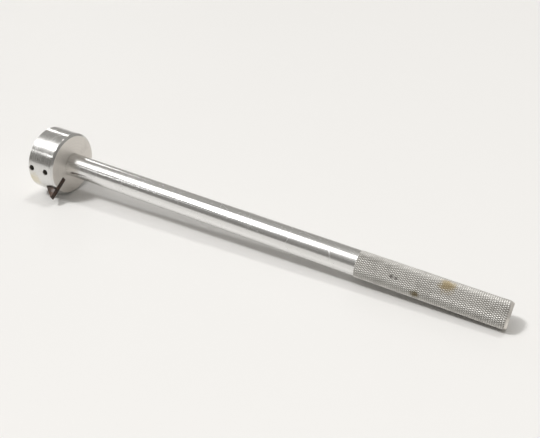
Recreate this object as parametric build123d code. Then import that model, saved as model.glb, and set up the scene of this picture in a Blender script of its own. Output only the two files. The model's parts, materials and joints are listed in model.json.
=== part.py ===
from build123d import *
import math
import os

# Aircraft tow bar: a turned head on one end of a round aluminium bar whose other end is
# knurled as the hand grip. A steel catch plate stands in a slot across the head, and two
# recessed set screws, one behind the other, clamp the bar in the head's bore.
#
# The pieces are drawn about the bar's own axis. X runs along the bar, 0 at the head's back
# face and positive towards the grip. The whole is then laid on the ground, where it touches
# at the head's rim and at the end of the grip, so the bar slopes down towards the grip.
# After that the frame is: +X towards the grip, +Z up, the catch plate on the -Y side, and
# the origin under the middle of the object's box. All sizes are millimetres.

INCH = 25.4

# Bar
BAR_D = 1.0 * INCH
GRIP_START = 338.5            # head's back face to the start of the knurl
GRIP_END = 475.0              # head's back face to the free end
KNURL_RAISE = 0.25            # the knurl's crests stand this far above the plain bar
KNURL_RUN_IN = 0.4            # the step up to the crests
GRIP_TIP_PLAIN = 3.3          # turned, un-knurled cone at the free end
GRIP_TIP_DROP = 1.3           # how far that cone drops from the crests, in radius
CENTRE_DRILL_D = 6.0          # lathe centre in each end of the bar
CENTRE_DRILL_DEEP = 3.0
HEAD_END_SETBACK = 0.5        # the bar stops this far inside the head's front face
HEAD_END_CHAMFER = 0.8

# Head
HEAD_D = 2.75 * INCH
HEAD_LENGTH = 1.3 * INCH
BACK_CHAMFER_AXIAL = 2.5
BACK_CHAMFER_RADIAL = 2.3
FRONT_CHAMFER = 0.8
BORE_CLEARANCE = 0.02         # radial, bar to bore
BORE_CHAMFER = 0.6            # at the front mouth only

# Catch plate, in a slot milled from the back face
PLATE_THICK = 0.25 * INCH
PLATE_INNER_R = 19.0
PLATE_TIP_R = 46.2
PLATE_DEPTH = 13.4
PLATE_ANGLE = 56.0            # degrees from straight down, towards -Y
PLATE_TIP_FLAT = 0.5          # the point is broken by this much
SLOT_CLEARANCE = 0.02

# Set screws, 1/4 in, one line along the head
SET_ANGLE = 95.0              # degrees from straight down, towards -Y
SET_POSITIONS = {"set_screw_rear": -9.1, "set_screw_front": -28.2}
SET_HOLE_D = 1 / 4 * INCH
SET_MOUTH_EDGE = 0.45         # break on the edge of each hole
SET_SCREW_D = SET_HOLE_D - 0.08
SET_SCREW_LENGTH = 3 / 8 * INCH
SET_SEAT_DEPTH = 0.6          # flat spotted in the bar under each screw
SET_SEAT_D = SET_HOLE_D + 0.3
SET_HEX_AF = 1 / 8 * INCH
SET_HEX_DEEP = 4.0
SET_CUP_D = 3.2
SET_CUP_DEEP = 1.0
SET_EDGE = 0.5

# Plate screw, number 8 socket cap screw from the front face into the plate
CAP_ANGLE = PLATE_ANGLE
CAP_R = 26.8
CAP_SHANK_D = 4.17
CAP_HEAD_D = 6.86
CAP_HEAD_H = 4.17
CAP_COUNTERBORE_D = 7.4
CAP_COUNTERBORE_DEEP = 4.8
CAP_REACH = 9.0               # thread engaged in the plate
CAP_HOLE_CLEARANCE = 0.03
CAP_HEX_AF = 9 / 64 * INCH
CAP_HEX_DEEP = 2.1

BAR_R = BAR_D / 2
GRIP_R = BAR_R + KNURL_RAISE
HEAD_R = HEAD_D / 2


def along_x(section):
    """Solid of revolution about X from (x, radius) points that close along the axis."""
    outline = Plane.XZ * make_face(Polyline(*section, close=True))
    return revolve(outline, axis=Axis.X)


def rod(radius, x_from, x_to):
    """Plain round rod about X."""
    length = x_to - x_from
    return Pos((x_from + x_to) / 2, 0, 0) * Rot(0, 90, 0) * Cylinder(radius, length)


def spoke(shape, angle, x=0.0):
    """Turn a shape drawn along +Z so that +Z points out of the bar, at an angle from -Z to -Y."""
    return Pos(x, 0, 0) * Rot(180 - angle, 0, 0) * shape


def hexagon_hole(across_flats, depth):
    """Hexagonal prism from Z = -depth to 0."""
    prism = extrude(RegularPolygon(across_flats / 2, 6, major_radius=False), amount=depth)
    return Pos(0, 0, -depth) * prism


def make_bar():
    """One bar: spigot in the head, plain length, knurled grip at crest diameter, turned tip."""
    head_end = -HEAD_LENGTH + HEAD_END_SETBACK
    tip_start = GRIP_END - GRIP_TIP_PLAIN
    blank = along_x([
        (head_end, 0),
        (head_end, BAR_R - HEAD_END_CHAMFER),
        (head_end + HEAD_END_CHAMFER, BAR_R),
        (GRIP_START, BAR_R),
        (GRIP_START + KNURL_RUN_IN, GRIP_R),
        (tip_start, GRIP_R),
        (GRIP_END, GRIP_R - GRIP_TIP_DROP),
        (GRIP_END, 0),
    ])
    centre = Rot(0, 90, 0) * Cone(CENTRE_DRILL_D / 2, 0.4, CENTRE_DRILL_DEEP)
    blank -= Pos(head_end + CENTRE_DRILL_DEEP / 2, 0, 0) * centre
    blank -= Pos(GRIP_END - CENTRE_DRILL_DEEP / 2, 0, 0) * Rot(0, 0, 180) * centre
    seat_floor = BAR_R - SET_SEAT_DEPTH
    seat = Pos(0, 0, seat_floor + BAR_R / 2) * Cylinder(SET_SEAT_D / 2, BAR_R)
    for x in SET_POSITIONS.values():
        blank -= spoke(seat, SET_ANGLE, x)
    return blank


def make_head():
    """Turned head with its through bore, plate slot, set screw holes and cap screw hole."""
    bore_r = BAR_R + BORE_CLEARANCE
    head = along_x([
        (-HEAD_LENGTH, bore_r + BORE_CHAMFER),
        (-HEAD_LENGTH, HEAD_R - FRONT_CHAMFER),
        (-HEAD_LENGTH + FRONT_CHAMFER, HEAD_R),
        (-BACK_CHAMFER_AXIAL, HEAD_R),
        (0, HEAD_R - BACK_CHAMFER_RADIAL),
        (0, bore_r),
        (-HEAD_LENGTH + BORE_CHAMFER, bore_r),
    ])
    slot_length = HEAD_D
    slot_width = PLATE_THICK + 2 * SLOT_CLEARANCE
    slot_floor = PLATE_DEPTH + SLOT_CLEARANCE
    slot = Pos(0, 0, PLATE_INNER_R - SLOT_CLEARANCE + slot_length / 2) * Box(
        2 * slot_floor, slot_width, slot_length
    )
    head -= spoke(slot, PLATE_ANGLE)
    hole_r = SET_HOLE_D / 2
    screw_hole = Pos(0, 0, HEAD_R / 2 + BAR_R / 2) * Cylinder(hole_r, HEAD_R)
    mouth = Cone(hole_r, hole_r + 2 * SET_MOUTH_EDGE, 2 * SET_MOUTH_EDGE)
    screw_hole += Pos(0, 0, HEAD_R) * mouth
    for x in SET_POSITIONS.values():
        head -= spoke(screw_hole, SET_ANGLE, x)
    shank_r = CAP_SHANK_D / 2 + CAP_HOLE_CLEARANCE
    shank_hole = rod(shank_r, -HEAD_LENGTH - 1, -PLATE_DEPTH + 1)
    counterbore = rod(CAP_COUNTERBORE_D / 2, -HEAD_LENGTH - 1, -HEAD_LENGTH + CAP_COUNTERBORE_DEEP)
    head -= spoke(Pos(0, 0, CAP_R) * (shank_hole + counterbore), CAP_ANGLE)
    return head


def make_catch_plate():
    """Steel plate, flush with the back face, whose leading edge slopes back to a point."""
    slope = (PLATE_TIP_R - HEAD_R) / PLATE_DEPTH
    outline = Plane.XZ * make_face(Polyline(
        (0, PLATE_INNER_R),
        (0, PLATE_TIP_R - PLATE_TIP_FLAT),
        (-PLATE_TIP_FLAT, PLATE_TIP_R - PLATE_TIP_FLAT * (1 + slope) / 2),
        (-PLATE_DEPTH, HEAD_R),
        (-PLATE_DEPTH, PLATE_INNER_R),
        close=True,
    ))
    plate = extrude(outline, amount=PLATE_THICK / 2, both=True)
    tapped_r = CAP_SHANK_D / 2 + CAP_HOLE_CLEARANCE
    tapped = rod(tapped_r, -PLATE_DEPTH - 1, -PLATE_DEPTH + CAP_REACH + 1)
    plate -= Pos(0, 0, CAP_R) * tapped
    return spoke(plate, PLATE_ANGLE)


def make_set_screw(x):
    """Hexagon socket grub screw whose cup point bears on the flat spotted in the bar."""
    foot = BAR_R - SET_SEAT_DEPTH
    top = foot + SET_SCREW_LENGTH
    radius = SET_SCREW_D / 2
    profile = Plane.XZ * make_face(Polyline(
        (0, foot + SET_CUP_DEEP),
        (SET_CUP_D / 2, foot),
        (radius - SET_EDGE, foot),
        (radius, foot + SET_EDGE),
        (radius, top - SET_EDGE),
        (radius - SET_EDGE, top),
        (0, top),
        close=True,
    ))
    screw = revolve(profile, axis=Axis.Z)
    screw -= Pos(0, 0, top) * hexagon_hole(SET_HEX_AF, SET_HEX_DEEP)
    return spoke(screw, SET_ANGLE, x)


def make_plate_screw():
    """Socket cap screw, head down in the front face, thread in the catch plate."""
    under_head = -HEAD_LENGTH + CAP_COUNTERBORE_DEEP
    screw = rod(CAP_SHANK_D / 2, under_head - 0.1, -PLATE_DEPTH + CAP_REACH)
    screw += rod(CAP_HEAD_D / 2, under_head - CAP_HEAD_H, under_head)
    socket = Rot(0, -90, 0) * hexagon_hole(CAP_HEX_AF, CAP_HEX_DEEP)
    screw -= Pos(under_head - CAP_HEAD_H, 0, 0) * socket
    return spoke(Pos(0, 0, CAP_R) * screw, CAP_ANGLE)


def rest_tilt():
    """Slope of the bar, in degrees, when the head's rim and the grip's end touch the ground."""
    span = GRIP_END - GRIP_TIP_PLAIN + BACK_CHAMFER_AXIAL
    return math.degrees(math.atan((HEAD_R - GRIP_R) / span))


def whole_box(pieces):
    """Box around all the pieces."""
    boxes = [piece.bounding_box() for piece in pieces]
    whole = boxes[0]
    for box in boxes[1:]:
        whole = whole.add(box)
    return whole


def main():
    pieces = {
        "bar": make_bar(),
        "head": make_head(),
        "catch_plate": make_catch_plate(),
        "plate_screw": make_plate_screw(),
    }
    for name, x in SET_POSITIONS.items():
        pieces[name] = make_set_screw(x)

    lean = Rot(0, rest_tilt(), 0)
    laid = {name: lean * piece for name, piece in pieces.items()}
    box = whole_box(laid.values())
    to_origin = Pos(-box.center().X, -box.center().Y, -box.min.Z)

    os.makedirs("parts", exist_ok=True)
    for name, piece in laid.items():
        export_step(to_origin * piece, f"parts/{name}.step")
    offset = Vector(0, 0, 0) - Vector(box.center().X, box.center().Y, box.min.Z)
    print("tilt", rest_tilt(), "offset", offset, "size", box.size)


main()
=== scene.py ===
"""Aircraft tow bar, dressed: a turned head with a catch plate on one end of a bright
aluminium bar, and a diamond knurled grip on the other.

Every piece is drawn in the bar's own axes, x along the bar from the head's back face
towards the grip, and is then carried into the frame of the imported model.
"""

import json
import logging
import math
from dataclasses import dataclass, field
from enum import Enum
from typing import Callable, Iterable, Sequence

import bmesh
import bpy
from mathutils import Euler, Matrix, Vector


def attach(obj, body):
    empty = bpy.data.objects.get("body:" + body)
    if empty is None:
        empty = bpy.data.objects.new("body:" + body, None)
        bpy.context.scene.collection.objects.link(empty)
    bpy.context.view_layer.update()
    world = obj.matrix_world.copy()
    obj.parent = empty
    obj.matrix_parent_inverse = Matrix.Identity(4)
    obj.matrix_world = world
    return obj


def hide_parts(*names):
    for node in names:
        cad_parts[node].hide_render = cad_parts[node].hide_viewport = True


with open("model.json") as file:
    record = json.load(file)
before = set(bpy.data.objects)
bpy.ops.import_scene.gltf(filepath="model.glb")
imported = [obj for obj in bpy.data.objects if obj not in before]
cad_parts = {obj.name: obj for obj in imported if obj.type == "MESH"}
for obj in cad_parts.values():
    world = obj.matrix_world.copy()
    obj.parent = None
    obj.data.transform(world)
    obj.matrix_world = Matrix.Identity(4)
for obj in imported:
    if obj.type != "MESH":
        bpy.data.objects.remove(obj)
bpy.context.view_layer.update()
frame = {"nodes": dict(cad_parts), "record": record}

LOG = logging.getLogger("tow_bar")
MM = 0.001
INCH = 25.4 * MM
BODY = "root"

Colour = tuple[float, float, float]
Profile = Sequence[tuple[float, float]]


class Slot(Enum):
    """Names of the record's material slots, passed along with each new piece."""

    BAR = "bar_aluminium"
    HEAD = "head_aluminium"
    PLATE = "plate_steel"
    SCREWS = "black_screws"


class Skin(Enum):
    """Order of the head's surfaces in its list of materials."""

    TURNED = 0
    FACED = 1
    DRILLED = 2


# ---------------------------------------------------------------- the bar's own axes


@dataclass(frozen=True)
class BarAxes:
    """Where the bar lies in the frame.

    Args:
        origin: Point on the bar's axis at the head's back face.
        along: Unit vector from the head towards the grip.
    """

    origin: Vector
    along: Vector

    @classmethod
    def from_record(cls, record: dict, head_length: float) -> "BarAxes":
        """Read the axis from the record's mounts.

        Args:
            record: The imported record.
            head_length: Thickness of the head, front face to back face.

        Returns:
            The axes of the bar as it lies.
        """
        mounts = {mount["name"]: mount for mount in record["mounts"]}
        along = Vector(mounts["grip"]["axis"]).normalized()
        on_axis = Vector(mounts["grip"]["pos_m"])
        front = Vector(mounts["nose_face"]["pos_m"])
        to_front = (front - on_axis).dot(along)
        return cls(on_axis + along * (to_front + head_length), along)

    def tilt(self) -> float:
        """Slope of the bar about the frame's Y axis, in radians, positive downwards."""
        return math.asin(-self.along.z)

    def matrix(self) -> Matrix:
        """Transform from the bar's own axes to the frame."""
        return Matrix.Translation(self.origin) @ Matrix.Rotation(self.tilt(), 4, "Y")


def spoke(angle: float, radius: float, x: float) -> Vector:
    """Point beside the bar's axis.

    Args:
        angle: Degrees from straight down towards -Y.
        radius: Distance from the axis.
        x: Place along the bar.

    Returns:
        The point in the bar's own axes.
    """
    turn = math.radians(angle)
    return Vector((x, -radius * math.sin(turn), -radius * math.cos(turn)))


def spoke_turn(angle: float) -> Matrix:
    """Rotation that takes +Z to a spoke at that angle in degrees, keeping X."""
    return Matrix.Rotation(math.radians(180 - angle), 4, "X")


# ---------------------------------------------------------------- meshes


class Shape:
    """A closed piece under construction, in the bar's own axes."""

    def __init__(self) -> None:
        """Start with an empty mesh."""
        self.bm = bmesh.new()

    def ring(self, points: Iterable[Vector]) -> list[bmesh.types.BMVert]:
        """Add a ring of vertices and return them in order."""
        return [self.bm.verts.new(point) for point in points]

    def band(self, first: list, second: list, skin: int = 0) -> None:
        """Join two rings of the same count with quads.

        Args:
            first: Ring nearer the head.
            second: Ring nearer the grip.
            skin: Material index of the band.
        """
        count = len(first)
        for i in range(count):
            j = (i + 1) % count
            face = self.bm.faces.new((first[i], first[j], second[j], second[i]))
            face.material_index = skin

    def close(self, ring: list, x: float, skin: int = 0) -> None:
        """Close a ring with a fan to a point on the axis at x."""
        middle = self.bm.verts.new((x, 0, 0))
        count = len(ring)
        for i in range(count):
            face = self.bm.faces.new((ring[i], ring[(i + 1) % count], middle))
            face.material_index = skin

    def mesh(self, name: str) -> bpy.types.Mesh:
        """Turn the work into a mesh with outward faces.

        Args:
            name: Name of the mesh.

        Returns:
            The finished mesh.
        """
        bmesh.ops.recalc_face_normals(self.bm, faces=self.bm.faces)
        mesh = bpy.data.meshes.new(name)
        self.bm.to_mesh(mesh)
        self.bm.free()
        return mesh


def circle(radius: float, x: float, count: int) -> list[Vector]:
    """Points of a circle about the bar's axis."""
    turns = (2 * math.pi * i / count for i in range(count))
    return [Vector((x, radius * math.cos(t), radius * math.sin(t))) for t in turns]


def turned(profile: Profile, count: int, hollow: bool = False) -> Shape:
    """Solid of revolution about the bar's axis.

    Args:
        profile: (x, radius) points in order.
        count: Points round the axis.
        hollow: Join the last ring to the first instead of closing both ends.

    Returns:
        The shape, ready to be turned into a mesh.
    """
    shape = Shape()
    rings = [shape.ring(circle(radius, x, count)) for x, radius in profile]
    for first, second in zip(rings, rings[1:]):
        shape.band(first, second)
    if hollow:
        shape.band(rings[-1], rings[0])
    else:
        shape.close(rings[0], profile[0][0])
        shape.close(rings[-1], profile[-1][0])
    return shape


def rounded(corners: Profile, radius: float, steps: int = 3) -> list[tuple[float, float]]:
    """Round the inner corners of an open profile.

    Args:
        corners: (x, radius) corners; the first and last stay as they are.
        radius: How far each round reaches along its two sides.
        steps: Spans in each round.

    Returns:
        The profile with a quadratic curve in place of each corner.
    """
    out = [corners[0]]
    for before, here, after in zip(corners, corners[1:], corners[2:]):
        a, b, c = Vector(before), Vector(here), Vector(after)
        start = b + (a - b).normalized() * min(radius, (a - b).length / 2)
        stop = b + (c - b).normalized() * min(radius, (c - b).length / 2)
        for i in range(steps + 1):
            t = i / steps
            point = start * (1 - t) ** 2 + b * (2 * t * (1 - t)) + stop * t**2
            out.append((point.x, point.y))
    out.append(corners[-1])
    return out


def add_object(name: str, mesh: bpy.types.Mesh, where: Matrix) -> bpy.types.Object:
    """Link a mesh as an object, with its place written into its vertices."""
    mesh.transform(where)
    piece = bpy.data.objects.new(name, mesh)
    bpy.context.scene.collection.objects.link(piece)
    return piece


def smooth_by_angle(mesh: bpy.types.Mesh, degrees: float) -> None:
    """Smooth shading with sharp edges above an angle."""
    mesh.shade_smooth()
    mesh.set_sharp_from_angle(angle=math.radians(degrees))


def cut(piece: bpy.types.Object, cutters: Sequence[bpy.types.Object]) -> None:
    """Subtract cutters from a piece for good and delete them.

    Args:
        piece: The object to cut.
        cutters: Closed objects to take away from it, in order.
    """
    for cutter in cutters:
        step = piece.modifiers.new("cut", "BOOLEAN")
        step.operation = "DIFFERENCE"
        step.solver = "EXACT"
        step.object = cutter
    bpy.context.view_layer.update()
    evaluated = piece.evaluated_get(bpy.context.evaluated_depsgraph_get())
    result = bpy.data.meshes.new_from_object(evaluated)
    piece.modifiers.clear()
    weld(result)
    piece.data = result
    for cutter in cutters:
        bpy.data.objects.remove(cutter)


def weld(mesh: bpy.types.Mesh) -> None:
    """Join vertices left on top of each other by a cut and drop the slivers between them."""
    bm = bmesh.new()
    bm.from_mesh(mesh)
    bmesh.ops.remove_doubles(bm, verts=bm.verts, dist=0.01 * MM)
    bmesh.ops.dissolve_degenerate(bm, edges=bm.edges, dist=0.005 * MM)
    bmesh.ops.triangulate(bm, faces=[face for face in bm.faces if len(face.verts) > 4])
    bmesh.ops.dissolve_degenerate(bm, edges=bm.edges, dist=0.005 * MM)
    bm.to_mesh(mesh)
    bm.free()


# ---------------------------------------------------------------- shader nodes


class Graph:
    """Short way to build a node tree."""

    def __init__(self, tree: bpy.types.NodeTree) -> None:
        """Wrap a tree.

        Args:
            tree: The material's, world's or group's node tree.
        """
        self.tree = tree

    def node(self, kind: str, settings: dict | None = None, **inputs: object) -> bpy.types.Node:
        """Add a node.

        Args:
            kind: Node type without its ShaderNode prefix.
            settings: Properties of the node.
            inputs: Socket name, with _ for a space, to a value or an output socket.

        Returns:
            The new node.
        """
        new = self.tree.nodes.new("ShaderNode" + kind)
        for name, value in (settings or {}).items():
            setattr(new, name, value)
        for name, value in inputs.items():
            self.feed(new, name.replace("_", " "), value)
        return new

    def feed(self, node: bpy.types.Node, name: str | int, value: object) -> None:
        """Set a socket to a value, or link an output into it."""
        socket = node.inputs[name]
        if isinstance(value, bpy.types.NodeSocket):
            self.tree.links.new(value, socket)
        else:
            socket.default_value = value

    def math(self, operation: str, *values: object) -> bpy.types.NodeSocket:
        """Math node on one to three values or sockets."""
        new = self.node("Math", {"operation": operation})
        for i, value in enumerate(values):
            self.feed(new, i, value)
        return new.outputs[0]

    def scaled(self, vector: object, scale: Sequence[float]) -> bpy.types.NodeSocket:
        """Multiply a vector by a fixed vector."""
        new = self.node("VectorMath", {"operation": "MULTIPLY"})
        self.feed(new, 0, vector)
        self.feed(new, 1, scale)
        return new.outputs[0]

    def noise(self, vector: object, detail: float = 2.0, rough: float = 0.5) -> bpy.types.NodeSocket:
        """Noise factor at unit scale on an already scaled vector."""
        new = self.node("TexNoise", Vector=vector, Scale=1.0, Detail=detail, Roughness=rough)
        return new.outputs["Fac"]

    def spread(self, value: object, low: float, high: float, start: float = 0.0,
               stop: float = 1.0) -> bpy.types.NodeSocket:
        """Clamped map of low..high to start..stop."""
        new = self.node("MapRange", {"clamp": True, "interpolation_type": "SMOOTHSTEP"})
        for i, item in enumerate((value, low, high, start, stop)):
            self.feed(new, i, item)
        return new.outputs[0]

    def blend(self, factor: object, first: object, second: object,
              mode: str = "MIX") -> bpy.types.NodeSocket:
        """Mix two colours."""
        new = self.node("Mix", {"data_type": "RGBA", "blend_type": mode, "clamp_factor": True})
        self.feed(new, 0, factor)
        self.feed(new, 6, rgba(first))
        self.feed(new, 7, rgba(second))
        return new.outputs[2]

    def group(self, tree: bpy.types.NodeTree, **inputs: object) -> bpy.types.Node:
        """Place a node group with its own values."""
        new = self.tree.nodes.new("ShaderNodeGroup")
        new.node_tree = tree
        for name, value in inputs.items():
            self.feed(new, name.replace("_", " "), value)
        return new


def rgba(value: object) -> object:
    """A three-number colour as four numbers; sockets pass through."""
    if isinstance(value, tuple) and len(value) == 3:
        return (*value, 1.0)
    return value


def new_group(name: str, inputs: dict[str, object], outputs: dict[str, str]) -> tuple:
    """Start a node group.

    Args:
        name: Name of the group.
        inputs: Input name to its default; a tuple makes a vector socket.
        outputs: Output name to its socket type.

    Returns:
        The graph, the group's input node and its output node.
    """
    tree = bpy.data.node_groups.new(name, "ShaderNodeTree")
    for label, default in inputs.items():
        kind = "NodeSocketVector" if isinstance(default, tuple) else "NodeSocketFloat"
        socket = tree.interface.new_socket(name=label, in_out="INPUT", socket_type=kind)
        socket.default_value = default
    for label, kind in outputs.items():
        tree.interface.new_socket(name=label, in_out="OUTPUT", socket_type=kind)
    start = tree.nodes.new("NodeGroupInput")
    end = tree.nodes.new("NodeGroupOutput")
    return Graph(tree), start.outputs, end.inputs


VALUE = "NodeSocketFloat"
VECTOR = "NodeSocketVector"


class Effects:
    """Shared surface effects, each one node group built once."""

    def __init__(self, axes: BarAxes) -> None:
        """Build the groups.

        Args:
            axes: The bar's own axes, which the coordinates follow.
        """
        self.place = self._place(axes)
        self.streaks = self._streaks()
        self.rings = self._rings()
        self.scratches = self._scratches()
        self.grime = self._grime()
        self.spot = self._spot()

    @staticmethod
    def _place(axes: BarAxes) -> bpy.types.NodeTree:
        """Own coordinates: Local in metres, Along, Radius."""
        g, src, out = new_group(
            "Bar place", {"Vector": (0.0, 0.0, 0.0)},
            {"Local": VECTOR, "Along": VALUE, "Radius": VALUE},
        )
        local = g.node("Mapping", {"vector_type": "TEXTURE"}, Vector=src["Vector"],
                       Location=axes.origin, Rotation=(0.0, axes.tilt(), 0.0))
        parts = g.node("SeparateXYZ", Vector=local.outputs[0])
        square = g.math("ADD", g.math("POWER", parts.outputs[1], 2.0),
                        g.math("POWER", parts.outputs[2], 2.0))
        g.tree.links.new(local.outputs[0], out["Local"])
        g.tree.links.new(parts.outputs[0], out["Along"])
        g.tree.links.new(g.math("SQRT", square), out["Radius"])
        return g.tree

    @staticmethod
    def _streaks() -> bpy.types.NodeTree:
        """Fine lines drawn along the bar: Fine and Broad, each 0 to 1."""
        g, src, out = new_group(
            "Drawn streaks", {"Local": (0.0, 0.0, 0.0), "Fineness": 2600.0},
            {"Fine": VALUE, "Broad": VALUE},
        )
        scale = g.node("CombineXYZ", X=14.0, Y=src["Fineness"], Z=src["Fineness"])
        stretched = g.node("VectorMath", {"operation": "MULTIPLY"})
        g.feed(stretched, 0, src["Local"])
        g.feed(stretched, 1, scale.outputs[0])
        fine = g.noise(stretched.outputs[0], detail=3.0, rough=0.6)
        broad = g.noise(g.scaled(src["Local"], (6.0, 420.0, 420.0)), detail=2.0)
        g.tree.links.new(g.spread(fine, 0.3, 0.7), out["Fine"])
        g.tree.links.new(g.spread(broad, 0.35, 0.65), out["Broad"])
        return g.tree

    @staticmethod
    def _rings() -> bpy.types.NodeTree:
        """Tool marks at a steady feed along one measure: Mark and Uneven."""
        g, src, out = new_group(
            "Tool rings", {"Measure": 0.0, "Feed": 0.00025},
            {"Mark": VALUE, "Uneven": VALUE},
        )
        turn = g.math("DIVIDE", src["Measure"], src["Feed"])
        wave = g.math("SINE", g.math("MULTIPLY", turn, 2 * math.pi))
        lift = g.math("MULTIPLY_ADD", wave, 0.5, 0.5)
        along = g.node("CombineXYZ", X=g.math("MULTIPLY", turn, 0.45))
        uneven = g.noise(along.outputs[0], detail=3.0, rough=0.7)
        g.tree.links.new(g.math("MULTIPLY", lift, g.spread(uneven, 0.3, 0.7)), out["Mark"])
        g.tree.links.new(g.spread(uneven, 0.3, 0.7), out["Uneven"])
        return g.tree

    @staticmethod
    def _scratches() -> bpy.types.NodeTree:
        """Thin handling scratches: a mask, 1 on a scratch."""
        g, src, out = new_group(
            "Handling scratches",
            {"Local": (0.0, 0.0, 0.0), "Density": 60.0, "Amount": 0.5},
            {"Mask": VALUE},
        )
        masks = []
        for turn, stretch in (((0.3, 0.2, 0.9), 0.35), ((0.9, 0.5, 0.1), 0.22)):
            turned_to = g.node("VectorRotate", {"rotation_type": "EULER_XYZ"},
                               Vector=src["Local"], Rotation=turn)
            squeezed = g.scaled(turned_to.outputs[0], (stretch, 1.0, 1.0))
            sized = g.node("VectorMath", {"operation": "SCALE"}, Scale=src["Density"])
            g.feed(sized, 0, squeezed)
            cells = g.node("TexVoronoi", {"feature": "DISTANCE_TO_EDGE"},
                           Vector=sized.outputs[0], Scale=1.0, Randomness=1.0)
            line = g.spread(cells.outputs["Distance"], 0.004, 0.016, 1.0, 0.0)
            patch = g.noise(g.scaled(turned_to.outputs[0], (90.0, 90.0, 90.0)), detail=1.0)
            masks.append(g.math("MULTIPLY", line, g.spread(patch, 0.52, 0.66)))
        both = g.math("MAXIMUM", *masks)
        g.tree.links.new(g.math("MULTIPLY", both, src["Amount"]), out["Mask"])
        return g.tree

    @staticmethod
    def _grime() -> bpy.types.NodeTree:
        """Cloudy handling marks: a mask, 0 clean to 1 dirty."""
        g, src, out = new_group(
            "Grime", {"Local": (0.0, 0.0, 0.0), "Size": 60.0, "Cover": 0.5},
            {"Mask": VALUE},
        )
        sized = g.node("VectorMath", {"operation": "SCALE"}, Scale=src["Size"])
        g.feed(sized, 0, src["Local"])
        cloud = g.noise(sized.outputs[0], detail=5.0, rough=0.6)
        low = g.math("SUBTRACT", 0.75, g.math("MULTIPLY", src["Cover"], 0.5))
        high = g.math("ADD", low, 0.2)
        g.tree.links.new(g.spread(cloud, low, high), out["Mask"])
        return g.tree

    @staticmethod
    def _spot() -> bpy.types.NodeTree:
        """One patch of colour with a ragged rim round a point, for stains and painted reflections: a
        mask, 1 at its middle.
        """
        g, src, out = new_group(
            "Stain spot",
            {"Local": (0.0, 0.0, 0.0), "Middle": (0.0, 0.0, 0.0), "Reach": 0.005},
            {"Mask": VALUE},
        )
        away = g.node("VectorMath", {"operation": "DISTANCE"})
        g.feed(away, 0, src["Local"])
        g.feed(away, 1, src["Middle"])
        ragged = g.noise(g.scaled(src["Local"], (420.0, 420.0, 420.0)), detail=3.0)
        part = g.math("DIVIDE", away.outputs["Value"], src["Reach"])
        shifted = g.math("ADD", part, g.math("MULTIPLY_ADD", ragged, 1.1, -0.55))
        g.tree.links.new(g.spread(shifted, 0.25, 1.0, 1.0, 0.0), out["Mask"])
        return g.tree


# ---------------------------------------------------------------- finishes


@dataclass(frozen=True)
class ColourPatch:
    """One patch of colour on a finish, used for stains and for a painted reflection.

    Args:
        angle: Degrees round the bar from straight down towards -Y.
        x: Place along the bar.
        reach: Rough radius.
        colour: Colour at its middle.
        strength: How far it covers the metal, 0 to 1.
    """

    angle: float
    x: float
    reach: float
    colour: Colour
    strength: float


class Finish:
    """Base of the finishes: starts a material and closes it with a Principled shader."""

    def start(self, name: str, effects: Effects) -> None:
        """Make the material and its own coordinates.

        Args:
            name: Material name.
            effects: The shared groups.
        """
        material = bpy.data.materials.new(name)
        material.use_nodes = True
        material.node_tree.nodes.clear()
        self.set("material", material)
        self.set("g", Graph(material.node_tree))
        self.set("effects", effects)
        place = self.g.group(effects.place, Vector=self.g.node("TexCoord").outputs["Object"])
        self.set("local", place.outputs["Local"])
        self.set("along", place.outputs["Along"])
        self.set("radius", place.outputs["Radius"])

    def set(self, name: str, value: object) -> None:
        """Keep a working value on a frozen dataclass."""
        object.__setattr__(self, name, value)

    def patched(self, colour: object, patches: Sequence[ColourPatch], radius: float) -> object:
        """Lay stains and painted reflections over a colour.

        Args:
            colour: The colour so far.
            patches: Stains and painted reflections to lay on it, in order.
            radius: Radius of the surface that they lie on.

        Returns:
            The colour's socket with its patches laid on.
        """
        for one_patch in patches:
            spot = self.g.group(self.effects.spot, Local=self.local, Reach=one_patch.reach,
                                Middle=spoke(one_patch.angle, radius, one_patch.x))
            cover = self.g.math("MULTIPLY", spot.outputs["Mask"], one_patch.strength)
            colour = self.g.blend(cover, colour, one_patch.colour)
        return colour

    def bump(self, height: object, strength: float, depth: float) -> bpy.types.NodeSocket:
        """Bump normal from a height."""
        node = self.g.node("Bump", Height=height, Strength=strength, Distance=depth)
        return node.outputs["Normal"]

    def end(self, colour: object, rough: object, normal: object, metallic: float,
            coat: float = 0.0) -> bpy.types.Material:
        """Close the material.

        Args:
            colour: Base colour.
            rough: Roughness.
            normal: Bump normal.
            metallic: 1 for bare metal, 0 for an oxide skin.
            coat: Weight of a thin oily coat.

        Returns:
            The finished material.
        """
        shader = self.g.node("BsdfPrincipled", Base_Color=rgba(colour), Roughness=rough,
                             Metallic=metallic, Normal=normal, Coat_Weight=coat)
        out = self.g.node("OutputMaterial")
        self.g.tree.links.new(shader.outputs[0], out.inputs["Surface"])
        return self.material


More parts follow.
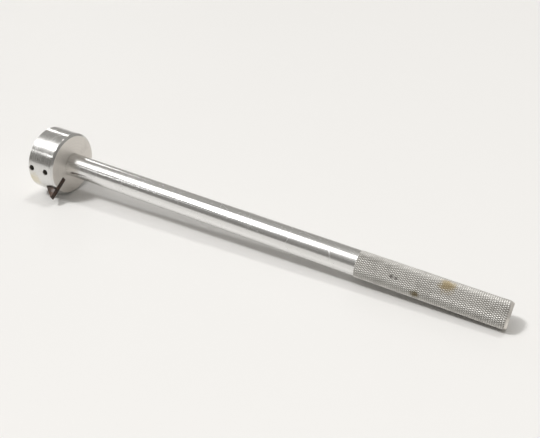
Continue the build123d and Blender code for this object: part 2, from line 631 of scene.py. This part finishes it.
@dataclass(frozen=True)
class DrawnAluminium(Finish):
    """Bright bar stock with lines along its length, light scratches and haze."""

    colour: Colour = (0.80, 0.795, 0.785)
    dull: Colour = (0.66, 0.655, 0.64)
    rough_low: float = 0.16
    rough_high: float = 0.27

    def build(self, effects: Effects) -> bpy.types.Material:
        """Make the material."""
        self.start("drawn_aluminium", effects)
        g = self.g
        lines = g.group(effects.streaks, Local=self.local, Fineness=2600.0)
        haze = g.group(effects.grime, Local=self.local, Size=38.0, Cover=0.45)
        marks = g.group(effects.scratches, Local=self.local, Density=75.0, Amount=0.8)
        fine = lines.outputs["Fine"]
        colour = g.blend(g.math("MULTIPLY", lines.outputs["Broad"], 0.35), self.colour, self.dull)
        colour = g.blend(g.math("MULTIPLY", haze.outputs["Mask"], 0.3), colour, self.dull)
        rough = g.spread(fine, 0.0, 1.0, self.rough_low, self.rough_high)
        rough = g.math("MULTIPLY_ADD", haze.outputs["Mask"], 0.04, rough)
        rough = g.math("MULTIPLY_ADD", marks.outputs["Mask"], 0.15, rough)
        height = g.math("SUBTRACT", fine, marks.outputs["Mask"])
        return self.end(colour, rough, self.bump(height, 0.10, 0.00001), 1.0)


@dataclass(frozen=True)
class KnurledAluminium(Finish):
    """Matte knurl with painted shade in its grooves, polished a little on its crests, with stains.
    """

    crest: Colour = (0.80, 0.785, 0.755)
    # Groove colour: painted shade for the grooves, dark grey; the dirt below darkens towards it too.
    groove: Colour = (0.24, 0.228, 0.205)
    crest_radius: float = 12.9 * MM
    groove_radius: float = 12.45 * MM
    patches: tuple[ColourPatch, ...] = (
        ColourPatch(163.0, 420.0 * MM, 9.5 * MM, (0.36, 0.28, 0.14), 0.8),
        ColourPatch(81.0, 395.5 * MM, 5.5 * MM, (0.17, 0.13, 0.06), 0.85),
        ColourPatch(122.5, 372.4 * MM, 2.4 * MM, (0.12, 0.11, 0.10), 0.8),
        ColourPatch(120.3, 377.0 * MM, 2.0 * MM, (0.12, 0.11, 0.10), 0.8),
    )

    def build(self, effects: Effects) -> bpy.types.Material:
        """Make the material."""
        self.start("knurled_aluminium", effects)
        g = self.g
        lift = g.spread(self.radius, self.groove_radius, self.crest_radius)
        dirt = g.group(effects.grime, Local=self.local, Size=120.0, Cover=0.55)
        cloud = g.group(effects.grime, Local=self.local, Size=30.0, Cover=0.5)
        # Painted shade by depth: dark groove colour at the groove radius, pale crest colour at the
        # crest radius.
        colour = g.blend(lift, self.groove, self.crest)
        colour = g.blend(g.math("MULTIPLY", dirt.outputs["Mask"], 0.35), colour, self.groove)
        colour = g.blend(g.math("MULTIPLY", cloud.outputs["Mask"], 0.15), colour, self.crest)
        colour = self.patched(colour, self.patches, self.crest_radius)
        rough = g.spread(lift, 0.0, 1.0, 0.62, 0.46)
        grain = g.noise(g.scaled(self.local, (9000.0, 9000.0, 9000.0)), detail=2.0)
        return self.end(colour, rough, self.bump(grain, 0.25, 0.00002), 0.75)


@dataclass(frozen=True)
class TurnedAluminium(Finish):
    """Fine turned outside: rings round the axis, blurred bands, and a painted reflection of the warm
    table in two yellowish patches low on the near side.
    """

    colour: Colour = (0.78, 0.775, 0.76)
    dull: Colour = (0.52, 0.515, 0.50)
    feed: float = 0.00022
    rough_low: float = 0.13
    rough_high: float = 0.29
    outer: float = 34.9 * MM
    # Painted reflection of the warm table: yellowish patches low on the near side of the head.
    patches: tuple[ColourPatch, ...] = (
        ColourPatch(70.0, -28.0 * MM, 13.0 * MM, (0.60, 0.53, 0.36), 0.6),
        ColourPatch(52.0, -12.0 * MM, 9.0 * MM, (0.52, 0.48, 0.36), 0.5),
    )

    def build(self, effects: Effects) -> bpy.types.Material:
        """Make the material."""
        self.start("turned_aluminium", effects)
        g = self.g
        rings = g.group(effects.rings, Measure=self.along, Feed=self.feed)
        cloud = g.group(effects.grime, Local=self.local, Size=55.0, Cover=0.5)
        marks = g.group(effects.scratches, Local=self.local, Density=95.0, Amount=0.7)
        tone = g.math("MULTIPLY", rings.outputs["Uneven"], 0.75)
        colour = g.blend(tone, self.colour, self.dull)
        colour = g.blend(g.math("MULTIPLY", cloud.outputs["Mask"], 0.35), colour, self.dull)
        # Lays the painted reflection of the table on the metal.
        colour = self.patched(colour, self.patches, self.outer)
        rough = g.spread(rings.outputs["Uneven"], 0.0, 1.0, self.rough_low, self.rough_high)
        rough = g.math("MULTIPLY_ADD", cloud.outputs["Mask"], 0.08, rough)
        height = g.math("SUBTRACT", rings.outputs["Mark"], marks.outputs["Mask"])
        return self.end(colour, rough, self.bump(height, 0.12, 0.00002), 1.0)


@dataclass(frozen=True)
class FacedAluminium(Finish):
    """Faced end: rings about the axis in a matte warm grey."""

    colour: Colour = (0.80, 0.765, 0.72)
    dull: Colour = (0.60, 0.57, 0.53)
    feed: float = 0.00035
    rough_low: float = 0.38
    rough_high: float = 0.52

    def build(self, effects: Effects) -> bpy.types.Material:
        """Make the material."""
        self.start("faced_aluminium", effects)
        g = self.g
        rings = g.group(effects.rings, Measure=self.radius, Feed=self.feed)
        cloud = g.group(effects.grime, Local=self.local, Size=70.0, Cover=0.5)
        colour = g.blend(g.math("MULTIPLY", rings.outputs["Uneven"], 0.45), self.colour, self.dull)
        colour = g.blend(g.math("MULTIPLY", cloud.outputs["Mask"], 0.4), colour, self.dull)
        rough = g.spread(rings.outputs["Uneven"], 0.0, 1.0, self.rough_low, self.rough_high)
        return self.end(colour, rough, self.bump(rings.outputs["Mark"], 0.2, 0.00003), 0.8)


@dataclass(frozen=True)
class DrilledAluminium(Finish):
    """Walls of holes and slots: rough and darker, partly painted shade in these recesses and partly
    patches of trapped oil and dirt.
    """

    # Darker than the turned outside: painted shade on the walls of the recesses.
    colour: Colour = (0.68, 0.65, 0.60)
    dirt: Colour = (0.20, 0.18, 0.15)

    def build(self, effects: Effects) -> bpy.types.Material:
        """Make the material."""
        self.start("drilled_aluminium", effects)
        g = self.g
        dirt = g.group(effects.grime, Local=self.local, Size=400.0, Cover=0.5)
        # Random dark patches of oil and dirt over the painted shade of the recesses.
        colour = g.blend(dirt.outputs["Mask"], self.colour, self.dirt)
        rough = g.spread(dirt.outputs["Mask"], 0.0, 1.0, 0.38, 0.6)
        grain = g.noise(g.scaled(self.local, (5000.0, 5000.0, 5000.0)), detail=2.0)
        return self.end(colour, rough, self.bump(grain, 0.3, 0.00003), 1.0)


@dataclass(frozen=True)
class OxidisedSteel(Finish):
    """Sawn plain steel under a dark brown skin, with bare scratches."""

    skin: Colour = (0.035, 0.022, 0.016)
    rust: Colour = (0.085, 0.045, 0.028)
    bare: Colour = (0.30, 0.27, 0.25)

    def build(self, effects: Effects) -> bpy.types.Material:
        """Make the material."""
        self.start("oxidised_steel", effects)
        g = self.g
        rust = g.group(effects.grime, Local=self.local, Size=260.0, Cover=0.6)
        bare = g.group(effects.scratches, Local=self.local, Density=240.0, Amount=0.7)
        colour = g.blend(rust.outputs["Mask"], self.skin, self.rust)
        colour = g.blend(g.math("MULTIPLY", bare.outputs["Mask"], 0.6), colour, self.bare)
        rough = g.spread(rust.outputs["Mask"], 0.0, 1.0, 0.42, 0.62)
        grain = g.noise(g.scaled(self.local, (2500.0, 2500.0, 2500.0)), detail=4.0, rough=0.65)
        return self.end(colour, rough, self.bump(grain, 0.45, 0.00005), 0.35)


@dataclass(frozen=True)
class BlackOxide(Finish):
    """Black oxide on screws, worn in patches."""

    skin: Colour = (0.028, 0.028, 0.030)
    worn: Colour = (0.11, 0.105, 0.10)

    def build(self, effects: Effects) -> bpy.types.Material:
        """Make the material."""
        self.start("black_oxide", effects)
        g = self.g
        worn = g.group(effects.grime, Local=self.local, Size=700.0, Cover=0.4)
        colour = g.blend(worn.outputs["Mask"], self.skin, self.worn)
        rough = g.spread(worn.outputs["Mask"], 0.0, 1.0, 0.32, 0.5)
        grain = g.noise(g.scaled(self.local, (6000.0, 6000.0, 6000.0)), detail=2.0)
        return self.end(colour, rough, self.bump(grain, 0.2, 0.00002), 0.6)


# ---------------------------------------------------------------- pieces


@dataclass
class Piece:
    axes: BarAxes
    made: list[bpy.types.Object] = field(default_factory=list)

    def finish(self, name: str, mesh: bpy.types.Mesh, slot: Slot, nodes: Sequence[str],
               skins: Sequence[bpy.types.Material]) -> bpy.types.Object:
        """Place a mesh, dress it, hang it on the body and hide the CAD nodes that it replaces.

        Args:
            name: Piece name.
            mesh: Its mesh in the bar's own axes.
            slot: Record slot of its finish; not used.
            nodes: CAD nodes that it replaces.
            skins: Materials in slot order.

        Returns:
            The object.
        """
        piece = add_object(name, mesh, self.axes.matrix())
        return self.declare(piece, slot, nodes, skins)

    def declare(self, piece: bpy.types.Object, slot: Slot, nodes: Sequence[str],
                skins: Sequence[bpy.types.Material]) -> bpy.types.Object:
        """Dress a placed object, hang it on the body and hide the CAD nodes that it replaces."""
        for skin in skins:
            piece.data.materials.append(skin)
        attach(piece, BODY)
        if nodes:
            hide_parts(*nodes)
        self.made.append(piece)
        LOG.info("%s: %d faces", piece.name, len(piece.data.polygons))
        return piece


@dataclass
class Bar(Piece):
    """The bar: plain length, diamond knurled grip and the turned cone at its end."""

    radius: float = INCH / 2
    head_end: float = -32.52 * MM
    grip_start: float = 338.5 * MM
    run_in: float = 0.4 * MM
    grip_end: float = 475.0 * MM
    tip_length: float = 3.3 * MM
    tip_drop: float = 1.3 * MM
    crest: float = 12.94 * MM
    groove: float = 12.43 * MM
    diamonds_round: int = 40
    diamond_length: float = 3.62 * MM
    flat: float = 0.3
    facets_between: int = 2

    def build(self, plain: bpy.types.Material, knurled: bpy.types.Material,
              end: bpy.types.Material) -> None:
        """Args:
            plain: Finish of the plain length.
            knurled: Finish of the grip.
            end: Finish of the two end faces.
        """
        shape = Shape()
        start, stop = self._knurl(shape)
        self._plain_length(shape, start)
        self._tip(shape, stop)
        mesh = shape.mesh("bar")
        self._shade(mesh)
        self.finish("bar_body", mesh, Slot.BAR, ["bar"], [plain, knurled, end])

    def _corner(self, shape: Shape, u: float, v: float, radius: float) -> bmesh.types.BMVert:
        """Vertex of the knurl at groove counts u and v of the two helix families."""
        turn = (u + v) * math.pi / self.diamonds_round
        x = self.grip_start + self.run_in + (u - v) * self.diamond_length / 2
        return shape.bm.verts.new((x, radius * math.cos(turn), radius * math.sin(turn)))

    def _knurl(self, shape: Shape) -> tuple[list, list]:
        """Cut the diamonds, trimmed square at both ends.

        Args:
            shape: Where they are made.

        Returns:
            The ring of vertices at the start of the knurl and the one at its end.
        """
        bm = shape.bm
        knurl_end = self.grip_end - self.tip_length
        rows = int((knurl_end - self.grip_start) / self.diamond_length) + 3
        half = self.flat / 2
        for k in range(-1, 2 * rows):
            for j in range(self.diamonds_round):
                u = j + (k + k % 2) // 2
                v = u - k
                outer = [self._corner(shape, a, b, self.groove)
                         for a, b in ((u, v), (u + 1, v), (u + 1, v + 1), (u, v + 1))]
                low, high = 0.5 - half, 0.5 + half
                inner = [self._corner(shape, u + a, v + b, self.crest)
                         for a, b in ((low, low), (high, low), (high, high), (low, high))]
                for i in range(4):
                    n = (i + 1) % 4
                    bm.faces.new((outer[i], outer[n], inner[n], inner[i]))
                bm.faces.new(inner)
        bmesh.ops.remove_doubles(bm, verts=bm.verts, dist=0.004 * MM)
        start_x = self.grip_start + self.run_in
        for x, keep in ((start_x, 1), (knurl_end, -1)):
            everything = bm.verts[:] + bm.edges[:] + bm.faces[:]
            bmesh.ops.bisect_plane(bm, geom=everything, dist=0.0005 * MM, plane_co=(x, 0, 0),
                                   plane_no=(keep, 0, 0), clear_inner=True)
        for face in bm.faces:
            face.material_index = 1
        return self._rim(bm, start_x), self._rim(bm, knurl_end)

    @staticmethod
    def _rim(bm: bmesh.types.BMesh, x: float) -> list:
        """Open rim at x, in order round the axis."""
        rim = {vert for edge in bm.edges if edge.is_boundary for vert in edge.verts
               if abs(vert.co.x - x) < 0.01 * MM}
        return sorted(rim, key=lambda vert: math.atan2(vert.co.z, vert.co.y))

    @staticmethod
    def _moved(shape: Shape, rim: list, x: float | None, radius: float | None,
               place: Callable[[float], float] | None = None) -> list:
        """Copy of a rim at another x or radius.

        Args:
            shape: Where the copy is made.
            rim: The ring to copy.
            x: New place along the bar, or None with place.
            radius: New radius, or None to keep each vertex's own.
            place: Place along the bar from a vertex's own radius.

        Returns:
            The new ring in the same order.
        """
        points = []
        for vert in rim:
            own = math.hypot(vert.co.y, vert.co.z)
            scale = 1.0 if radius is None else radius / own
            at = place(own) if place else x
            points.append(Vector((at, vert.co.y * scale, vert.co.z * scale)))
        return shape.ring(points)

    def _plain_length(self, shape: Shape, rim: list) -> None:
        """Step down from the knurl and run the plain length to the head end."""
        profile = rounded(
            [(self.grip_start + self.run_in, self.radius), (self.grip_start, self.radius),
             (self.head_end + 0.8 * MM, self.radius), (self.head_end, self.radius - 0.8 * MM),
             (self.head_end, 4.0 * MM)], 0.3 * MM)
        shoulder = self._moved(shape, rim, self.grip_start, self.radius - 0.02 * MM)
        shape.band(shoulder, rim, 1)
        last = shoulder
        for x, radius in profile[2:]:
            ring = self._moved(shape, rim, x, radius)
            is_face = x < self.head_end + 0.1 * MM
            shape.band(ring, last, 2 if is_face else 0)
            last = ring
        shape.close(self._centre(shape, rim, last, self.head_end, 1), self.head_end + 3 * MM, 2)

    def _centre(self, shape: Shape, rim: list, last: list, x: float, inward: int) -> list:
        """Lathe centre in an end face: the ring at its mouth and the one inside it."""
        mouth = self._moved(shape, rim, x, 3.0 * MM)
        inside = self._moved(shape, rim, x + inward * 2.6 * MM, 0.9 * MM)
        shape.band(mouth, last, 2)
        shape.band(inside, mouth, 2)
        return inside

    def _tip(self, shape: Shape, rim: list) -> None:
        """Turned cone that cuts the knurl's grooves off at the free end."""
        start = self.grip_end - self.tip_length
        slope = self.tip_length / self.tip_drop

        def on_cone(own: float) -> float:
            """Place where the cone has this radius."""
            return start + max(self.crest - own, 0.0) * slope

        scallop = self._moved(shape, rim, None, None, on_cone)
        shape.band(rim, scallop, 1)
        last = scallop
        low = self.crest - self.tip_drop
        for x, radius in ((self.grip_end - 0.25 * MM, low + 0.10 * MM),
                          (self.grip_end - 0.05 * MM, low - 0.05 * MM),
                          (self.grip_end, low - 0.25 * MM)):
            ring = self._moved(shape, rim, x, radius)
            shape.band(last, ring, 2)
            last = ring
        shape.close(self._centre(shape, rim, last, self.grip_end, -1), self.grip_end - 3 * MM, 2)

    @staticmethod
    def _shade(mesh: bpy.types.Mesh) -> None:
        """Flat knurl facets, smooth everywhere else."""
        mesh.shade_smooth()
        for face in mesh.polygons:
            if face.material_index == 1:
                face.use_smooth = False
        mesh.set_sharp_from_angle(angle=math.radians(24))


@dataclass
class Head(Piece):
    """Turned head with its bore, plate slot, set screw holes and counterbore."""

    length: float = 1.3 * INCH
    radius: float = 2.75 * INCH / 2
    bore: float = 12.76 * MM
    back_chamfer: tuple[float, float] = (2.5 * MM, 2.3 * MM)
    front_chamfer: float = 0.8 * MM
    edge: float = 0.35 * MM
    facets: int = 288
    slot_width: float = 6.52 * MM
    slot_depth: float = 13.5 * MM
    slot_floor: float = 18.9 * MM
    slot_angle: float = 56.0
    hole_angle: float = 95.0
    holes: tuple[float, ...] = (-9.1 * MM, -28.2 * MM)
    hole_radius: float = 3.175 * MM
    mouth: float = 0.5 * MM
    counterbore: tuple[float, float, float] = (26.8 * MM, 3.7 * MM, 4.8 * MM)

    def build(self, skins: dict[Skin, bpy.types.Material]) -> None:
        """Args:
            skins: Material of each kind of surface.
        """
        axial, radial = self.back_chamfer
        outline = rounded([
            (-self.length + 0.4 * MM, self.bore),
            (-self.length, self.bore + 0.4 * MM),
            (-self.length, self.radius - self.front_chamfer),
            (-self.length + self.front_chamfer, self.radius),
            (-axial, self.radius),
            (0.0, self.radius - radial),
            (0.0, self.bore),
        ], self.edge)
        shape = turned(outline, self.facets, hollow=True)
        piece = add_object("head_body", shape.mesh("head_body"), Matrix.Identity(4))
        cut(piece, [self._slot_cutter(), self._counterbore_cutter(), *self._hole_cutters()])
        self._shade(piece.data)
        piece.data.transform(self.axes.matrix())
        self._round_normals(piece.data)
        self.declare(piece, Slot.HEAD, ["head"], [skins[skin] for skin in Skin])

    def _slot_cutter(self) -> bpy.types.Object:
        """Block that mills the plate's slot from the back face."""
        bm = bmesh.new()
        bmesh.ops.create_cube(bm, size=1.0)
        size = Matrix.Diagonal((2 * self.slot_depth, self.slot_width, 2 * self.radius, 1.0))
        lift = Matrix.Translation((0, 0, self.slot_floor + self.radius))
        bmesh.ops.transform(bm, matrix=spoke_turn(self.slot_angle) @ lift @ size, verts=bm.verts)
        mesh = bpy.data.meshes.new("slot_cutter")
        bm.to_mesh(mesh)
        bm.free()
        return add_object("slot_cutter", mesh, Matrix.Identity(4))

    def _counterbore_cutter(self) -> bpy.types.Object:
        """Rod that sinks the plate screw's head in the front face."""
        off_axis, radius, depth = self.counterbore
        front = -self.length
        shape = turned([(front - MM, radius + 0.3 * MM + MM), (front + 0.3 * MM, radius),
                        (front + depth, radius)], 64)
        where = Matrix.Translation(spoke(self.slot_angle, off_axis, 0.0))
        return add_object("counterbore_cutter", shape.mesh("counterbore_cutter"), where)

    def _hole_cutters(self) -> list[bpy.types.Object]:
        """Drills with a countersink, one for each set screw."""
        made = []
        for x in self.holes:
            top = self.radius
            shape = turned([(11.0 * MM, self.hole_radius), (top - self.mouth, self.hole_radius),
                            (top + self.mouth, self.hole_radius + 2 * self.mouth)], 96)
            stand = Matrix.Rotation(-math.pi / 2, 4, "Y")
            where = Matrix.Translation((x, 0, 0)) @ spoke_turn(self.hole_angle) @ stand
            made.append(add_object("hole_cutter", shape.mesh("hole_cutter"), where))
        return made

    def _shade(self, mesh: bpy.types.Mesh) -> None:
        """Sort the faces by kind of surface."""
        smooth_by_angle(mesh, 28)
        for face in mesh.polygons:
            off_axis = math.hypot(face.center.y, face.center.z)
            outward = face.normal.y * face.center.y + face.normal.z * face.center.z
            at_end = face.center.x > -0.1 * MM or face.center.x < -self.length + 0.1 * MM
            if abs(face.normal.x) > 0.9 and at_end:
                face.material_index = Skin.FACED.value
            elif outward > 0.5 * off_axis and off_axis > self.radius - self.back_chamfer[1] - MM:
                face.material_index = Skin.TURNED.value
            else:
                face.material_index = Skin.DRILLED.value

    def _round_normals(self, mesh: bpy.types.Mesh) -> None:
        """Give the turned outside the exact normals of a cylinder."""
        inverse = self.axes.matrix().inverted()
        turn = self.axes.matrix().to_3x3()
        normals = [Vector((0, 0, 0))] * len(mesh.loops)
        for face in mesh.polygons:
            if face.material_index != Skin.TURNED.value:
                continue
            for i in face.loop_indices:
                point = inverse @ mesh.vertices[mesh.loops[i].vertex_index].co
                if -self.length + self.front_chamfer < point.x < -self.back_chamfer[0]:
                    normals[i] = turn @ Vector((0, point.y, point.z)).normalized()
        mesh.normals_split_custom_set(normals)


@dataclass
class CatchPlate(Piece):
    """Steel plate whose leading edge slopes back to a point beyond the head's rim."""

    thick: float = 6.35 * MM
    inner: float = 19.0 * MM
    tip: float = 46.2 * MM
    tip_flat: float = 0.5 * MM
    rim: float = 34.925 * MM
    depth: float = 13.4 * MM
    angle: float = 56.0
    edge: float = 0.18 * MM

    def build(self, steel: bpy.types.Material) -> None:
        bm = bmesh.new()
        outline = [(0.0, self.inner), (0.0, self.tip - self.tip_flat),
                   (-self.tip_flat, self.tip - self.tip_flat), (-self.depth, self.rim),
                   (-self.depth, self.inner)]
        base = [bm.verts.new((x, -self.thick / 2, z)) for x, z in outline]
        grown = bmesh.ops.extrude_face_region(bm, geom=[bm.faces.new(base)])
        moved = [item for item in grown["geom"] if isinstance(item, bmesh.types.BMVert)]
        bmesh.ops.translate(bm, verts=moved, vec=(0, self.thick, 0))
        bmesh.ops.recalc_face_normals(bm, faces=bm.faces)
        bmesh.ops.bevel(bm, geom=bm.edges[:], offset=self.edge, segments=3, profile=0.5,
                        affect="EDGES", clamp_overlap=True)
        bmesh.ops.transform(bm, matrix=spoke_turn(self.angle), verts=bm.verts)
        mesh = bpy.data.meshes.new("catch_plate_body")
        bm.to_mesh(mesh)
        bm.free()
        smooth_by_angle(mesh, 30)
        self.finish("catch_plate_body", mesh, Slot.PLATE, ["catch_plate"], [steel])


@dataclass
class Screws(Piece):
    """The set screws and the plate screw, kept as packed and given their finish."""

    nodes: tuple[str, ...] = ("set_screw_rear", "set_screw_front", "plate_screw")

    def build(self, oxide: bpy.types.Material) -> None:
        """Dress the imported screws."""
        for name in self.nodes:
            mesh = frame["nodes"][name].data
            mesh.materials.clear()
            mesh.materials.append(oxide)
            LOG.info("%s: packed shape, black oxide", name)


# ---------------------------------------------------------------- studio


@dataclass(frozen=True)
class SoftLamp:
    """One soft lamp, far enough away to light the whole table evenly.

    Args:
        name: Lamp name.
        height: Degrees above the floor.
        heading: Degrees from +Y towards +X.
        spread: Degrees across its disc.
        strength: Light that it gives square on.
        colour: Lamp colour.
    """

    name: str
    height: float
    heading: float
    spread: float
    strength: float
    colour: Colour = (1.0, 1.0, 1.0)

    def build(self) -> None:
        """Hang the lamp."""
        rise, turn = math.radians(self.height), math.radians(self.heading)
        away = Vector((math.cos(rise) * math.sin(turn), math.cos(rise) * math.cos(turn),
                       math.sin(rise)))
        lamp = bpy.data.lights.new(self.name, "SUN")
        lamp.angle = math.radians(self.spread)
        lamp.energy = self.strength
        lamp.color = self.colour
        holder = bpy.data.objects.new(self.name, lamp)
        holder.location = away
        holder.rotation_euler = away.to_track_quat("Z", "Y").to_euler()
        bpy.context.scene.collection.objects.link(holder)
        LOG.info("lamp %s", self.name)


@dataclass
class Studio:
    """Pale table top, grey room, soft lamps and the camera."""

    floor_size: float = 9.0
    floor_colour: Colour = (0.80, 0.79, 0.775)
    room_dark: Colour = (0.235, 0.228, 0.215)
    room_pale: Colour = (0.405, 0.395, 0.375)
    lens: float = 46.07
    shift: tuple[float, float] = (0.0686, -0.0327)
    from_head: tuple[float, float, float] = (492.8 * MM, -508.0 * MM, 359.4 * MM)
    turn: float = 29.5
    down: float = 30.76
    lamps: tuple[SoftLamp, ...] = (
        SoftLamp("ceiling", 66.0, -118.0, 32.0, 0.60),
        SoftLamp("key", 56.0, -128.0, 9.0, 1.62),
        SoftLamp("top", 75.0, 22.0, 9.0, 0.58),
        SoftLamp("window", 29.0, -44.0, 4.0, 0.045),
        SoftLamp("near_window", 30.0, -136.0, 4.0, 0.03),
    )

    def build(self, axes: BarAxes) -> None:
        """Set the stage round the object.

        Args:
            axes: The bar's own axes, from which the camera is placed.
        """
        self._floor()
        self._room()
        for lamp in self.lamps:
            lamp.build()
        self._camera(axes)
        bpy.context.scene.view_settings.view_transform = "Standard"

    def _floor(self) -> None:
        """Pale laminate table top, faintly clouded."""
        bm = bmesh.new()
        bmesh.ops.create_grid(bm, x_segments=1, y_segments=1, size=self.floor_size / 2)
        mesh = bpy.data.meshes.new("floor")
        bm.to_mesh(mesh)
        bm.free()
        floor = add_object("floor", mesh, Matrix.Identity(4))
        material = bpy.data.materials.new("pale_table")
        material.use_nodes = True
        material.node_tree.nodes.clear()
        g = Graph(material.node_tree)
        spot = g.node("TexCoord").outputs["Object"]
        cloud = g.noise(g.scaled(spot, (3.0, 3.0, 3.0)), detail=3.0)
        colour = g.blend(g.math("MULTIPLY", cloud, 0.12), self.floor_colour, (0.72, 0.70, 0.67))
        shader = g.node("BsdfPrincipled", Base_Color=colour, Roughness=0.5)
        out = g.node("OutputMaterial")
        g.tree.links.new(shader.outputs[0], out.inputs["Surface"])
        floor.data.materials.append(material)

    def _room(self) -> None:
        """Grey room: darker on the near side, paler on the far side and overhead."""
        world = bpy.data.worlds.new("room")
        world.use_nodes = True
        world.node_tree.nodes.clear()
        g = Graph(world.node_tree)
        way = g.node("SeparateXYZ", Vector=g.node("TexCoord").outputs["Generated"])
        far = g.spread(way.outputs[1], -0.6, 0.5)
        up = g.spread(way.outputs[2], 0.35, 0.95)
        tone = g.math("MAXIMUM", far, up)
        colour = g.blend(tone, self.room_dark, self.room_pale)
        light = g.node("Background", Color=colour, Strength=1.0)
        out = g.node("OutputWorld")
        g.tree.links.new(light.outputs[0], out.inputs["Surface"])
        bpy.context.scene.world = world

    def _camera(self, axes: BarAxes) -> None:
        """Camera standing over the grip end, looking back at the head."""
        data = bpy.data.cameras.new("camera")
        data.sensor_width = 36.0
        data.lens = self.lens
        data.shift_x, data.shift_y = self.shift
        camera = bpy.data.objects.new("camera", data)
        camera.location = axes.origin + Vector(self.from_head)
        camera.rotation_euler = Euler(
            (math.radians(90 - self.down), 0.0, math.radians(self.turn)), "XYZ")
        bpy.context.scene.collection.objects.link(camera)
        bpy.context.scene.camera = camera


# ---------------------------------------------------------------- making


def main() -> None:
    """Build every piece in order, then the studio."""
    logging.basicConfig(level=logging.INFO, format="%(name)s %(message)s")
    axes = BarAxes.from_record(frame["record"], Head.length)
    effects = Effects(axes)
    drawn = DrawnAluminium().build(effects)
    knurled = KnurledAluminium().build(effects)
    turned_skin = TurnedAluminium().build(effects)
    faced = FacedAluminium().build(effects)
    drilled = DrilledAluminium().build(effects)
    Bar(axes).build(drawn, knurled, faced)
    Head(axes).build({Skin.TURNED: turned_skin, Skin.FACED: faced, Skin.DRILLED: drilled})
    CatchPlate(axes).build(OxidisedSteel().build(effects))
    Screws(axes).build(BlackOxide().build(effects))
    Studio().build(axes)
    bpy.context.view_layer.update()


if __name__ == "__main__":
    main()
